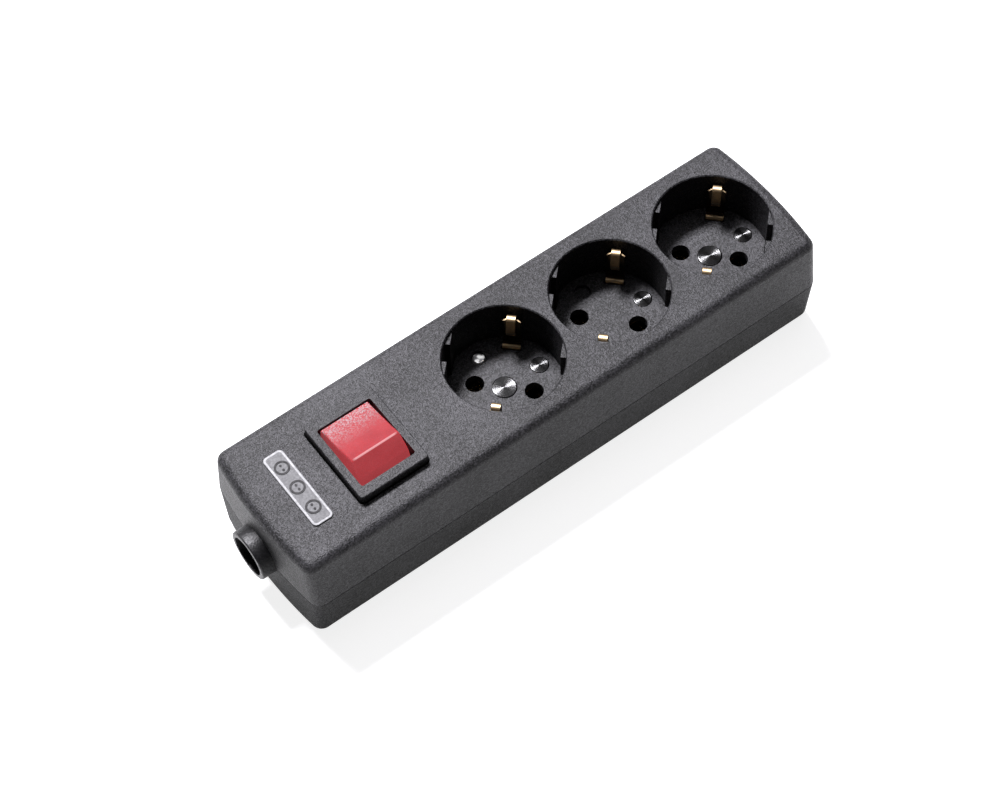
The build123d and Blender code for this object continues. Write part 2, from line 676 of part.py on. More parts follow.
PLUNGER_TIP = -8.7
PLUNGER_R = 1.45
PLUNGER_NOSE = 1.2
SPRING_LOW = 3.0
SPRING_HIGH = 8.8
SPRING_R = 1.15
SPRING_PITCH = 1.1
SPRING_WIRE_R = 0.18
SPRING_PLAY = 0.3
SEESAW_HALF = 9.6
SEESAW_T = 0.8
SEESAW_W = 4.0
SEESAW_DIP = (3.2, 0.55)
SEESAW_PAD_R = 1.5
SEESAW_PAD_H = 0.6
FEED_TOP = 22.0
FEED_PAD_R = 1.6
FEED_PAD_Z = 21.6
FEED_PAD_H = 1.2
LOAD_TOP = 21.0
FULCRUM_W = 3.2
FULCRUM_FOOT = (2.4, 20.6)
FULCRUM_TIP = (0.3, 24.2)
for name, side in (("line", -1), ("neutral", 1)):
    with BuildPart() as plunger:
        with BuildSketch(rocker_top.offset(PLUNGER_TIP)):
            with Locations((side * POLE_OFFSET, 0)):
                Circle(PLUNGER_R)
        extrude(amount=SPRING_LOW - PLUNGER_TIP)
        fillet(plunger.edges().sort_by(Axis(rocker_top.origin, rocker_top.z_dir))[0], radius=PLUNGER_NOSE)
    export(plunger, f"{name}_plunger")

    helix_base = rocker_top.offset(SPRING_LOW + SPRING_PLAY)
    with BuildPart() as plunger_spring:
        with BuildLine():
            coil = Helix(
                pitch=SPRING_PITCH,
                height=SPRING_HIGH - SPRING_LOW - 2 * SPRING_PLAY,
                radius=SPRING_R,
                center=helix_base.origin + helix_base.x_dir * side * POLE_OFFSET,
                direction=helix_base.z_dir,
            )
        with BuildSketch(Plane(coil @ 0, z_dir=coil % 0)):
            Circle(SPRING_WIRE_R)
        sweep(is_frenet=True)
    export(plunger_spring, f"{name}_plunger_spring")

    pole_x = SWITCH_X + side * POLE_OFFSET
    lean = math.radians(SEESAW_TILT)
    seesaw_side = Plane(
        origin=(pole_x, SWITCH_Y, SEESAW_Z),
        x_dir=(0, math.cos(lean), math.sin(lean)),
        z_dir=(1, 0, 0),
    )
    with BuildPart() as seesaw:
        with BuildSketch(seesaw_side):
            with BuildLine():
                Polyline(
                    (-SEESAW_HALF, 0),
                    (SEESAW_HALF, 0),
                    (SEESAW_HALF, SEESAW_T),
                    (SEESAW_DIP[0], SEESAW_T),
                    (0, SEESAW_DIP[1]),
                    (-SEESAW_DIP[0], SEESAW_T),
                    (-SEESAW_HALF, SEESAW_T),
                    close=True,
                )
            make_face()
        extrude(amount=SEESAW_W / 2, both=True)
        with BuildSketch(Plane(seesaw_side.origin, x_dir=(1, 0, 0), z_dir=seesaw_side.y_dir)):
            with Locations((0, -TAB_STEP)):
                Circle(SEESAW_PAD_R)
        extrude(amount=-SEESAW_PAD_H)
    export(seesaw, f"{name}_seesaw")

    with BuildPart() as feed_tab:
        with BuildSketch(Plane.XY.offset(TAB_LOW)):
            with Locations((pole_x, SWITCH_Y - TAB_STEP)):
                Rectangle(TAB_T, TAB_W)
        extrude(amount=FEED_TOP - TAB_LOW)
        with BuildSketch(Plane.XY.offset(FEED_PAD_Z)):
            with Locations((pole_x, SWITCH_Y - TAB_STEP)):
                Circle(FEED_PAD_R)
        extrude(amount=FEED_PAD_H)
    export(feed_tab, f"{name}_feed_tab")

    with BuildPart() as load_tab:
        with BuildSketch(Plane.XY.offset(TAB_LOW)):
            with Locations((pole_x, SWITCH_Y)):
                Rectangle(TAB_T, TAB_W)
        extrude(amount=LOAD_TOP - TAB_LOW)
        with BuildSketch(Plane.YZ.offset(pole_x - FULCRUM_W / 2)):
            with BuildLine():
                Polyline(
                    (SWITCH_Y - FULCRUM_FOOT[0], FULCRUM_FOOT[1]),
                    (SWITCH_Y + FULCRUM_FOOT[0], FULCRUM_FOOT[1]),
                    (SWITCH_Y + FULCRUM_TIP[0], FULCRUM_TIP[1]),
                    (SWITCH_Y - FULCRUM_TIP[0], FULCRUM_TIP[1]),
                    close=True,
                )
            make_face()
        extrude(amount=FULCRUM_W)
    export(load_tab, f"{name}_load_tab")

LAMP_Y = SWITCH_Y - 4.5
LAMP_Z = 27.5
LAMP_R = 1.9
LAMP_L = 9.0
LAMP_NOSE = 1.5
RESISTOR_Y = SWITCH_Y - 3.0
RESISTOR_Z = 22.0
RESISTOR_R = 1.2
RESISTOR_L = 6.0
with BuildPart() as indicator_lamp:
    with BuildSketch(Plane.XZ.offset(-LAMP_Y)):
        with Locations((SWITCH_X, LAMP_Z)):
            Circle(LAMP_R)
    extrude(amount=-LAMP_L)
    fillet(indicator_lamp.edges().sort_by(Axis.Y)[-1], radius=LAMP_NOSE)
export(indicator_lamp, "indicator_lamp")

with BuildPart() as lamp_resistor:
    with BuildSketch(Plane.XZ.offset(-RESISTOR_Y)):
        with Locations((SWITCH_X, RESISTOR_Z)):
            Circle(RESISTOR_R)
    extrude(amount=-RESISTOR_L)
export(lamp_resistor, "lamp_resistor")

# ---------------------------------------------------------------- incoming terminals and wires
terminal_y = (-TERMINAL_STEP, 0.0, TERMINAL_STEP)
terminal_mid = sum(TERMINAL_X) / 2
WIRE_Z = 10.0
TERMINAL_W = 27.0
TERMINAL_H = 12.0
TERMINAL_CORNER = 1.0
TERMINAL_BORE_R = 1.7
DRIVER_HOLE_R = 2.0
DRIVER_HOLE_DEEP = 3.5
CLAMP_R = 1.9
CLAMP_SEAT = 9.0
CLAMP_H = 2.4
CLAMP_SLOT = (3.8, 0.7)
CLAMP_SLOT_DEEP = 0.8
with BuildPart() as terminal_block:
    with BuildSketch(Plane.XY.offset(PLATE)):
        with Locations((terminal_mid, 0)):
            RectangleRounded(TERMINAL_X[1] - TERMINAL_X[0], TERMINAL_W, TERMINAL_CORNER)
    extrude(amount=TERMINAL_H)
    for y in terminal_y:
        with BuildSketch(Plane.YZ.offset(TERMINAL_X[0])):
            with Locations((y, WIRE_Z)):
                Circle(TERMINAL_BORE_R)
        extrude(amount=TERMINAL_X[1] - TERMINAL_X[0], mode=Mode.SUBTRACT)
        with BuildSketch(Plane.XY.offset(PLATE + TERMINAL_H)):
            with Locations((terminal_mid, y)):
                Circle(DRIVER_HOLE_R)
        extrude(amount=-DRIVER_HOLE_DEEP, mode=Mode.SUBTRACT)
export(terminal_block, "terminal_block")

with BuildPart() as terminal_screws:
    for y in terminal_y:
        with BuildSketch(Plane.XY.offset(PLATE + CLAMP_SEAT)):
            with Locations((terminal_mid, y)):
                Circle(CLAMP_R)
        extrude(amount=CLAMP_H)
        with BuildSketch(Plane.XY.offset(PLATE + CLAMP_SEAT + CLAMP_H)):
            with Locations((terminal_mid, y)):
                Rectangle(*CLAMP_SLOT)
        extrude(amount=-CLAMP_SLOT_DEEP, mode=Mode.SUBTRACT)
export(terminal_screws, "terminal_screws")

line_x = SWITCH_X - POLE_OFFSET
neutral_x = SWITCH_X + POLE_OFFSET
half_tab = TAB_T / 2
wire_start = TERMINAL_X[1] - 4
neutral_z = 7.8
line_out_z = 4.6
EARTH_WIRE_Z = 17.1
routes = {
    "line_feed_wire": [
        (wire_start, -TERMINAL_STEP, WIRE_Z), (line_x - half_tab, -TERMINAL_STEP, WIRE_Z),
    ],
    "neutral_feed_wire": [
        (wire_start, 0, WIRE_Z), (-75.5, 0, WIRE_Z), (-70, 5.4, neutral_z), (-48.5, 5.4, neutral_z),
        (-48.5, -TERMINAL_STEP, neutral_z), (neutral_x + half_tab, -TERMINAL_STEP, neutral_z),
    ],
    "line_load_wire": [
        (line_x + half_tab, SWITCH_Y, 12), (SWITCH_X, SWITCH_Y, 12), (SWITCH_X, SWITCH_Y, line_out_z),
        (-38, SWITCH_Y, line_out_z), (-28, BAR_Y, 9), (BAR_X[0], BAR_Y, 9),
    ],
    "neutral_load_wire": [
        (neutral_x + half_tab, SWITCH_Y, 11.6), (-44, SWITCH_Y, 11.6), (-30, -BAR_Y, 11),
        (BAR_X[0], -BAR_Y, 11),
    ],
    "earth_wire": [
        (wire_start, TERMINAL_STEP, WIRE_Z), (-42, TERMINAL_STEP, WIRE_Z), (-32, 0, EARTH_WIRE_Z),
        (BAR_X[0], 0, EARTH_WIRE_Z),
    ],
}
for name, points in routes.items():
    with BuildPart() as wire:
        with BuildLine():
            if len(points) > 2:
                path = FilletPolyline(*points, radius=WIRE_BEND)
            else:
                path = Line(*points)
        with BuildSketch(Plane(path @ 0, z_dir=path % 0)):
            Circle(WIRE_R)
        sweep()
    export(wire, name)

# ---------------------------------------------------------------- badge
with BuildPart() as badge_plate:
    with BuildSketch(Plane.XY.offset(HEIGHT - BADGE_SINK)):
        with Locations((BADGE_X, 0)):
            RectangleRounded(BADGE[0], BADGE[1], BADGE_CORNER)
    extrude(amount=BADGE_T)
    fillet(badge_plate.faces().sort_by(Axis.Z)[-1].edges(), radius=BADGE_EDGE)
export(badge_plate, "badge_plate")

mark_points = [(BADGE_X, y) for y in (-MARK_STEP, 0, MARK_STEP)]
dot_points = [(x, y + side * MARK_DOT_AT) for x, y in mark_points for side in (1, -1)]
with BuildPart() as badge_marks:
    with BuildSketch(Plane.XY.offset(HEIGHT - BADGE_SINK + BADGE_T)):
        with Locations(*mark_points):
            Circle(MARK_R[0])
            Circle(MARK_R[1], mode=Mode.SUBTRACT)
        with Locations(*dot_points):
            Circle(MARK_DOT_R)
    extrude(amount=MARK_T)
export(badge_marks, "badge_marks")
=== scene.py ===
"""Looks of the three-gang desk power strip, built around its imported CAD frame.

Metres. +X runs away from the cord inlet, +Y to the back, +Z up.
"""

import bpy
import bmesh
import math
from mathutils import Matrix, Vector


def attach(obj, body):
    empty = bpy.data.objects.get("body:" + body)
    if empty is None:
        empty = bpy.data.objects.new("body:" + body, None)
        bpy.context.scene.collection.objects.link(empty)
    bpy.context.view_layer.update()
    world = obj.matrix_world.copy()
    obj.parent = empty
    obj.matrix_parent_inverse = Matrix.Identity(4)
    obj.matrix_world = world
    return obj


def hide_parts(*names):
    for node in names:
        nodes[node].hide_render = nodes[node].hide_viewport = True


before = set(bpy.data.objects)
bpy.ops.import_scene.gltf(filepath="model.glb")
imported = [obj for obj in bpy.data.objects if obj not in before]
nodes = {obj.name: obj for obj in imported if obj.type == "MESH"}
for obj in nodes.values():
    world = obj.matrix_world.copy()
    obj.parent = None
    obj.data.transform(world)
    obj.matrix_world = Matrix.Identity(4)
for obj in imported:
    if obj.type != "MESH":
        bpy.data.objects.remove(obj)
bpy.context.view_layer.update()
MM = 0.001

# Places and sizes that repeat the CAD's, in millimetres
SOCKET_X = (-7.35, 34.35, 76.05)
FLOOR_Z = 22.5
CENTRE_HEAD_R, CENTRE_HEAD_LIFT = 4.0, 0.3
SIDE_HEAD_R, SIDE_HEAD_LIFT = 3.0, 0.2
SIDE_HEAD_AT = 13.85
HEAD_SEAT = 0.8
SHANK_R, SHANK_END = 1.5, 6.0
CLIP_R, CLIP_IN, CLIP_TOP = 17.2, 14.9, 35.4
CLIP_WIDTH, CLIP_BEND = 6.0, 0.9
LEDGE_Z, STRAP_Z = 22.95, 18.9
TONGUE_WIDTH, TONGUE_THICK, TONGUE_BEND = 3.0, 0.7, 0.7
TONGUE_TOP, TONGUE_FOLD = 37.2, ((1.5, 0.0), (2.8, 4.6), (1.7, 7.8))
BADGE_X = -84.3
SWITCH_AT = (-59.65, -0.8)
BEZEL_SPAN, BEZEL_CORNER = (25.0, 31.2), 1.2

# Sizes that only the looks have, in millimetres; the CAD's clip strap is 0.8 thick and its
# tongue starts at 34.4
CLIP_THICK, CLIP_WAIST, TONGUE_FOOT = 0.5, 30.0, 34.2
SHANK_TIP_R, SHANK_TOP, SHANK_EDGE = 1.3, 0.79, 5.8
PANEL_REACH, PANEL_CORNER, PANEL_Z = (1.9, 12.8), 0.9, (40.4, 40.54)
JOINT_WIDTH, JOINT_Z = 0.42, (39.95, 40.03)

# The rocker's crest and its far half, in metres: where the crest's middle is, where its painted
# highlight line fades to the sides and to the ends, and how far from y = 0 the painted sheen is complete
CREST_AT = (-0.05965, -0.00608, 0.04756)
CREST_SIDES, CREST_ENDS = (0.00022, 0.00045), (0.0070, 0.0082)
PAINTED_SHEEN_REACH = 0.0095

# Angle from which the bevels take an edge, and the strengths of floor and surroundings
BEVEL_FROM = math.radians(28.0)
FLOOR_GLOW, SURROUNDINGS = 0.84, 0.045
SENSOR_WIDTH = 36.0


# ---------------------------------------------------------------- node helpers
def new_material(name):
    """A new material, its node tree and its Principled shader."""
    mat = bpy.data.materials.new(name)
    mat.use_nodes = True
    tree = mat.node_tree
    return mat, tree, tree.nodes["Principled BSDF"]


def add(tree, kind, inputs=None, **settings):
    """A node with its properties and its input constants set."""
    node = tree.nodes.new(kind)
    for key, value in settings.items():
        setattr(node, key, value)
    for key, value in (inputs or {}).items():
        node.inputs[key].default_value = value
    return node


def join(tree, source, target):
    """One link between two sockets."""
    tree.links.new(source, target)


def place(tree):
    """Object coordinates, which are metres in the row frame."""
    return add(tree, "ShaderNodeTexCoord").outputs["Object"]


def noise(tree, coord, size, detail=2.0, rough=0.5):
    """Noise whose features are about size metres wide."""
    node = add(tree, "ShaderNodeTexNoise", {"Scale": 1.0 / size, "Detail": detail, "Roughness": rough})
    join(tree, coord, node.inputs["Vector"])
    return node.outputs["Fac"]


def ramp(tree, fac, stops):
    """Colour ramp over fac; stops are (position, grey or colour)."""
    node = add(tree, "ShaderNodeValToRGB")
    band = node.color_ramp
    while len(band.elements) < len(stops):
        band.elements.new(0.5)
    for element, (position, value) in zip(band.elements, stops):
        element.position = position
        rgb = (value,) * 3 if isinstance(value, (int, float)) else tuple(value)
        element.color = rgb + (1.0,)
    join(tree, fac, node.inputs["Fac"])
    return node.outputs["Color"]


def math_node(tree, operation, a, b):
    """a (operation) b, each a socket or a number."""
    node = add(tree, "ShaderNodeMath", operation=operation)
    for slot, value in zip(node.inputs, (a, b)):
        if isinstance(value, (int, float)):
            slot.default_value = value
        else:
            join(tree, value, slot)
    return node.outputs[0]


def bump(tree, height, strength, distance):
    """Normal bumped by a height."""
    node = add(tree, "ShaderNodeBump", {"Strength": strength, "Distance": distance})
    join(tree, height, node.inputs["Height"])
    return node.outputs["Normal"]


def blend(tree, fac, first, second):
    """Socket first mixed towards the colour second by fac."""
    node = add(tree, "ShaderNodeMix", {"B": tuple(second) + (1.0,)}, data_type="RGBA")
    join(tree, fac, node.inputs["Factor"])
    join(tree, first, node.inputs["A"])
    return node.outputs["Result"]


def remap(tree, value, low, high, at_low, at_high):
    """value between low and high spread from at_low to at_high, and held outside."""
    node = add(tree, "ShaderNodeMapRange", {
        "From Min": low, "From Max": high, "To Min": at_low, "To Max": at_high})
    join(tree, value, node.inputs["Value"])
    return node.outputs["Result"]


# ---------------------------------------------------------------- materials
def moulded(name, dark, light, rough, grain=0.00042, depth=1.0, spec=0.5):
    """Spark-eroded black plastic: grain of two sizes and a faintly uneven tone."""
    mat, tree, bsdf = new_material(name)
    coord = place(tree)
    fine = noise(tree, coord, grain, 2.0, 0.6)
    coarse = noise(tree, coord, grain * 2.2, 2.0, 0.5)
    cloud = noise(tree, coord, 0.03, 3.0, 0.6)
    grainy = math_node(tree, "ADD", math_node(tree, "MULTIPLY", fine, 0.7),
                       math_node(tree, "MULTIPLY", coarse, 0.3))
    mixed = math_node(tree, "ADD", math_node(tree, "MULTIPLY", grainy, 0.8),
                      math_node(tree, "MULTIPLY", cloud, 0.2))
    tint = (1.0, 0.98, 1.08)
    join(tree, ramp(tree, mixed, [(0.44, [dark * c for c in tint]), (0.58, [light * c for c in tint])]),
         bsdf.inputs["Base Color"])
    join(tree, ramp(tree, mixed, [(0.35, rough + 0.08), (0.65, rough - 0.08)]), bsdf.inputs["Roughness"])
    join(tree, bump(tree, grainy, depth, grain * 0.8), bsdf.inputs["Normal"])
    bsdf.inputs["Specular IOR Level"].default_value = spec
    return mat


def metal(name, dark, light, rough, scratch=0.0006, depth=0.2, painted_shade=None):
    """Bare metal with fine scratches, darkened by painted shade where the mesh's vertex attribute says.
    """
    mat, tree, bsdf = new_material(name)
    coord = place(tree)
    stretch = add(tree, "ShaderNodeMapping", {"Scale": (1.0, 6.0, 1.0)})
    join(tree, coord, stretch.inputs["Vector"])
    marks = noise(tree, stretch.outputs["Vector"], scratch, 4.0, 0.6)
    cloud = noise(tree, coord, 0.002, 3.0, 0.6)
    mixed = math_node(tree, "ADD", math_node(tree, "MULTIPLY", marks, 0.5),
                      math_node(tree, "MULTIPLY", cloud, 0.5))
    colour = ramp(tree, mixed, [(0.3, dark), (0.7, light)])
    if painted_shade is not None:
        share = add(tree, "ShaderNodeAttribute", attribute_name="painted_shade").outputs["Fac"]
        colour = blend(tree, share, colour, painted_shade)
    join(tree, colour, bsdf.inputs["Base Color"])
    join(tree, ramp(tree, mixed, [(0.3, rough + 0.1), (0.7, rough - 0.05)]), bsdf.inputs["Roughness"])
    join(tree, bump(tree, marks, depth, 0.00003), bsdf.inputs["Normal"])
    bsdf.inputs["Metallic"].default_value = 1.0
    return mat


def screw_with_painted_glints():
    """Bright plated screw head, mottled, with a few soft painted glints that give off a little light."""
    mat, tree, bsdf = new_material("zinc_screw")
    coord = place(tree)
    specks_and_painted_glints = noise(tree, coord, 0.0022, 1.0, 0.5)
    join(tree, ramp(tree, specks_and_painted_glints, [(0.35, 0.35), (0.6, 0.8)]), bsdf.inputs["Base Color"])
    # Painted glints: emission on the brightest specks
    join(tree, ramp(tree, specks_and_painted_glints, [(0.5, 0.01), (0.62, 0.6)]), bsdf.inputs["Emission Color"])
    bsdf.inputs["Emission Strength"].default_value = 1.0
    bsdf.inputs["Metallic"].default_value = 1.0
    join(tree, ramp(tree, specks_and_painted_glints, [(0.3, 0.4), (0.7, 0.25)]), bsdf.inputs["Roughness"])
    return mat


def turned_steel():
    """Faced steel, dark outside its highlights; the turning grooves are in the mesh."""
    mat, tree, bsdf = new_material("turned_steel")
    coord = place(tree)
    marks = noise(tree, coord, 0.0004, 3.0, 0.6)
    join(tree, ramp(tree, marks, [(0.3, 0.015), (0.7, 0.024)]), bsdf.inputs["Base Color"])
    join(tree, ramp(tree, marks, [(0.3, 0.19), (0.7, 0.16)]), bsdf.inputs["Roughness"])
    bsdf.inputs["Metallic"].default_value = 1.0
    return mat


def plain_plastic(name, dark, light, rough, size=0.0012, depth=0.15, spec=0.5):
    """Smooth moulded or sheathed plastic with slight mottling."""
    mat, tree, bsdf = new_material(name)
    coord = place(tree)
    cloud = noise(tree, coord, size, 3.0, 0.6)
    join(tree, ramp(tree, cloud, [(0.3, dark), (0.7, light)]), bsdf.inputs["Base Color"])
    join(tree, ramp(tree, cloud, [(0.3, rough + 0.05), (0.7, rough - 0.05)]), bsdf.inputs["Roughness"])
    join(tree, bump(tree, cloud, depth, size * 0.1), bsdf.inputs["Normal"])
    bsdf.inputs["Specular IOR Level"].default_value = spec
    return mat


def rocker_red():
    """Red translucent polycarbonate with a fine grain, a painted red glow in place of light passing
    through it, a painted whitish sheen over its far half and a painted highlight line along the crest.
    """
    mat, tree, bsdf = new_material("rocker_red")
    coord = place(tree)
    fine = noise(tree, coord, 0.00035, 3.0, 0.7)
    cloud = noise(tree, coord, 0.006, 2.0, 0.5)
    mixed = math_node(tree, "ADD", math_node(tree, "MULTIPLY", fine, 0.6),
                      math_node(tree, "MULTIPLY", cloud, 0.4))
    along = add(tree, "ShaderNodeSeparateXYZ")
    join(tree, coord, along.inputs["Vector"])
    # Painted sheen: whitish specks standing for the softbox's reflection, growing over the far half from
    # y = 0
    speck = noise(tree, coord, 0.0005, 2.0, 0.6)
    reach = remap(tree, along.outputs["Y"], 0.0, PAINTED_SHEEN_REACH, 0.0, 0.85)
    painted_sheen = math_node(tree, "MULTIPLY", reach, ramp(tree, speck, [(0.45, 0.0), (0.58, 1.0)]))
    red = ramp(tree, mixed, [(0.3, (0.06, 0.004, 0.006)), (0.7, (0.09, 0.008, 0.01))])
    join(tree, blend(tree, painted_sheen, red, (0.19, 0.15, 0.155)), bsdf.inputs["Base Color"])
    join(tree, ramp(tree, fine, [(0.3, 0.5), (0.7, 0.36)]), bsdf.inputs["Roughness"])
    join(tree, bump(tree, fine, 0.8, 0.0001), bsdf.inputs["Normal"])
    bsdf.inputs["Specular IOR Level"].default_value = 0.1
    # Painted glow: red emission in place of light passing through the plastic, dimmer under the painted
    # sheen
    painted_glow_red = ramp(tree, mixed, [(0.3, (0.3, 0.036, 0.042)), (0.7, (0.39, 0.052, 0.06))])
    painted_glow = blend(tree, painted_sheen, painted_glow_red, (0.1, 0.03, 0.034))

    # Painted highlight: a pale emissive line along the crest between the two faces, added to the painted
    # glow
    offset = add(tree, "ShaderNodeVectorMath", {1: (0.0,) + CREST_AT[1:]}, operation="SUBTRACT")
    join(tree, coord, offset.inputs[0])
    section = add(tree, "ShaderNodeVectorMath", {1: (0.0, 1.0, 1.0)}, operation="MULTIPLY")
    join(tree, offset.outputs["Vector"], section.inputs[0])
    away = add(tree, "ShaderNodeVectorMath", operation="LENGTH")
    join(tree, section.outputs["Vector"], away.inputs[0])
    near = remap(tree, away.outputs["Value"], *CREST_SIDES, 1.0, 0.0)
    inset = math_node(tree, "ABSOLUTE", math_node(tree, "ADD", along.outputs["X"], -CREST_AT[0]), 0.0)
    ends = remap(tree, inset, *CREST_ENDS, 0.8, 0.0)
    crest = math_node(tree, "MULTIPLY", near, ends)
    join(tree, blend(tree, crest, painted_glow, (0.7, 0.42, 0.44)), bsdf.inputs["Emission Color"])
    bsdf.inputs["Emission Strength"].default_value = 1.0
    bsdf.inputs["Subsurface Weight"].default_value = 0.6
    bsdf.inputs["Subsurface Radius"].default_value = (1.0, 0.08, 0.08)
    bsdf.inputs["Subsurface Scale"].default_value = 0.004
    return mat


MATS = {
    "housing": moulded("housing_black", 0.0, 0.028, 0.5, spec=0.23),
    # Base cover: the housing's plastic with painted shade, darker for its downward-facing lower cover,
    # and with a weaker sheen
    "base_painted_shade": moulded("housing_black", 0.0, 0.02, 0.55, spec=0.1),
    "well": moulded("well_black", 0.0, 0.028, 0.5, spec=0.24),
    "bush": moulded("bush_black", 0.003, 0.009, 0.42, grain=0.0006, depth=0.5, spec=0.25),
    "bezel": moulded("bezel_black", 0.0, 0.023, 0.5, spec=0.24),
    # Joint strip: the dark joint and painted contact shadow
    "joint": moulded("bezel_black", 0.0002, 0.0012, 0.8, spec=0.02),
    "rocker": rocker_red(),
    "brass": metal("brass", (0.2, 0.14, 0.07), (0.42, 0.31, 0.17), 0.42),
    # Clip brass, with a dark colour for the painted shade on its legs and tongues
    "clip": metal("brass", (0.32, 0.225, 0.12), (0.46, 0.35, 0.22), 0.38,
                  painted_shade=(0.012, 0.008, 0.005)),
    "steel": metal("turned_steel", (0.4, 0.4, 0.41), (0.6, 0.6, 0.61), 0.3),
    "turned": turned_steel(),
    "zinc": metal("zinc_screw", (0.5, 0.51, 0.52), (0.74, 0.75, 0.76), 0.26),
    "screw": screw_with_painted_glints(),
    "lamp": plain_plastic("lamp_glass", (0.75, 0.5, 0.35), (0.9, 0.7, 0.5), 0.12),
    "resistor": plain_plastic("resistor_tan", (0.5, 0.38, 0.22), (0.66, 0.53, 0.35), 0.4),
    "terminal": plain_plastic("terminal_white", (0.72, 0.71, 0.66), (0.84, 0.83, 0.79), 0.45),
    "brown": plain_plastic("wire_brown", (0.13, 0.05, 0.025), (0.22, 0.1, 0.05), 0.4),
    "blue": plain_plastic("wire_blue", (0.02, 0.08, 0.32), (0.05, 0.15, 0.45), 0.4),
    "green": plain_plastic("wire_green", (0.12, 0.36, 0.05), (0.42, 0.5, 0.06), 0.4, size=0.004),
    "badge": plain_plastic("badge_silver", (0.1, 0.1, 0.104), (0.15, 0.15, 0.155), 0.55, 0.0008),
    "badge_panel": plain_plastic("badge_grey", (0.05, 0.05, 0.052), (0.08, 0.08, 0.083), 0.6, 0.0006,
                                 spec=0.25),
    "badge_mark": plain_plastic("badge_grey", (0.006, 0.006, 0.0063), (0.014, 0.014, 0.0145), 0.55,
                                spec=0.1),
}


# CAD nodes by material; every other node is brass
MADE_OF = {
    "housing": ["upper_housing"], "base_painted_shade": ["base_cover"], "bush": ["cord_inlet_bush"],
    "well": ["socket_floor_1", "socket_floor_2", "socket_floor_3"],
    "bezel": ["switch_frame"], "rocker": ["switch_rocker"],
    "steel": ["centre_rivets", "side_rivets", "line_plunger_spring", "neutral_plunger_spring"],
    "screw": ["floor_screw"], "zinc": ["case_screws", "terminal_screws"],
    "lamp": ["indicator_lamp"], "resistor": ["lamp_resistor"], "terminal": ["terminal_block"],
    "brown": ["line_feed_wire", "line_load_wire"], "blue": ["neutral_feed_wire", "neutral_load_wire"],
    "green": ["earth_wire"], "badge": ["badge_plate"], "badge_mark": ["badge_marks"],
}
MATERIAL_OF = {node: material for material, group in MADE_OF.items() for node in group}

for node_name, node_object in nodes.items():
    node_object.data.materials.clear()
    node_object.data.materials.append(MATS[MATERIAL_OF.get(node_name, "brass")])

# Softened crest and flanks of the rocker, and broken edges on the terminal block and screws
for node_name, width in (("switch_rocker", 0.45), ("terminal_block", 0.25), ("case_screws", 0.12),
                         ("terminal_screws", 0.12)):
    bevel = nodes[node_name].modifiers.new("soft_edge", "BEVEL")
    bevel.width = width * MM
    bevel.segments = 3
    bevel.limit_method = "ANGLE"
    bevel.angle_limit = BEVEL_FROM


# ---------------------------------------------------------------- pieces made in mesh code
def clamp(value, low=0.0, high=1.0):
    """value held between low and high."""
    return min(max(value, low), high)


def finish_piece(name, bm, mat, body, stands_for=(), angle=35.0):
    """A named object from a bmesh in millimetres, smooth but for its sharp edges."""
    bmesh.ops.remove_doubles(bm, verts=bm.verts, dist=1e-5)
    bmesh.ops.recalc_face_normals(bm, faces=bm.faces)
    for vert in bm.verts:
        vert.co *= MM
    mesh = bpy.data.meshes.new(name)
    bm.to_mesh(mesh)
    bm.free()
    mesh.shade_smooth()
    mesh.set_sharp_from_angle(angle=math.radians(angle))
    mesh.materials.append(mat)
    piece = bpy.data.objects.new(name, mesh)
    bpy.context.scene.collection.objects.link(piece)
    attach(piece, body)
    if stands_for:
        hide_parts(*stands_for)


def lathe(bm, profile, centre, segments=96):
    """Adds a solid of revolution about +Z; profile is (radius, height) from the axis out and down."""
    rings = []
    for radius, height in profile:
        if radius < 1e-6:
            rings.append([bm.verts.new((centre[0], centre[1], height))])
            continue
        rings.append([
            bm.verts.new((centre[0] + radius * math.cos(a), centre[1] + radius * math.sin(a), height))
            for a in (2 * math.pi * k / segments for k in range(segments))])
    for inner, outer in zip(rings, rings[1:]):
        for k in range(segments):
            n = (k + 1) % segments
            if len(inner) == 1:
                bm.faces.new((inner[0], outer[k], outer[n]))
            elif len(outer) == 1:
                bm.faces.new((inner[n], inner[k], outer[0]))
            else:
                bm.faces.new((inner[k], outer[k], outer[n], inner[n]))


def corner_ring(centre, reach, radius, steps):
    """Points (x, y) of a rectangle with rounded corners; reach runs to the corners' centres."""
    ring = []
    for cx, cy, quarter in ((1, 1, 0), (-1, 1, 1), (-1, -1, 2), (1, -1, 3)):
        for k in range(steps + 1):
            turn = math.pi / 2 * (quarter + k / steps)
            ring.append((centre[0] + cx * reach[0] + radius * math.cos(turn),
                         centre[1] + cy * reach[1] + radius * math.sin(turn)))
    return ring


def turned_head(radius, top, seat, dish=0.05, groove=0.014, pitch=0.3):
    """Profile of a faced rivet head: fine turning grooves, a dished face and a broken rim."""
    profile = []
    r = 0.0
    while r < radius - 0.3:
        wave = groove * math.cos(2 * math.pi * r / pitch)
        profile.append((r, top - dish * (1 - (r / radius) ** 2) + wave))
        r += pitch / 6
    profile += [(radius - 0.28, top), (radius - 0.12, top - 0.03), (radius, top - 0.16), (radius, seat),
                (0, seat)]
    return profile


heads = bmesh.new()
for x in (SOCKET_X[0], SOCKET_X[2]):
    lathe(heads, turned_head(CENTRE_HEAD_R, FLOOR_Z + CENTRE_HEAD_LIFT, FLOOR_Z - HEAD_SEAT), (x, 0))
    shank = [(0, SHANK_TOP), (SHANK_R, SHANK_TOP), (SHANK_R, SHANK_EDGE), (SHANK_TIP_R, SHANK_END),
             (0, SHANK_END)]
    lathe(heads, [(radius, FLOOR_Z - down) for radius, down in shank], (x, 0), 48)
finish_piece("centre_heads", heads, MATS["turned"], "housing", ["centre_rivets"])

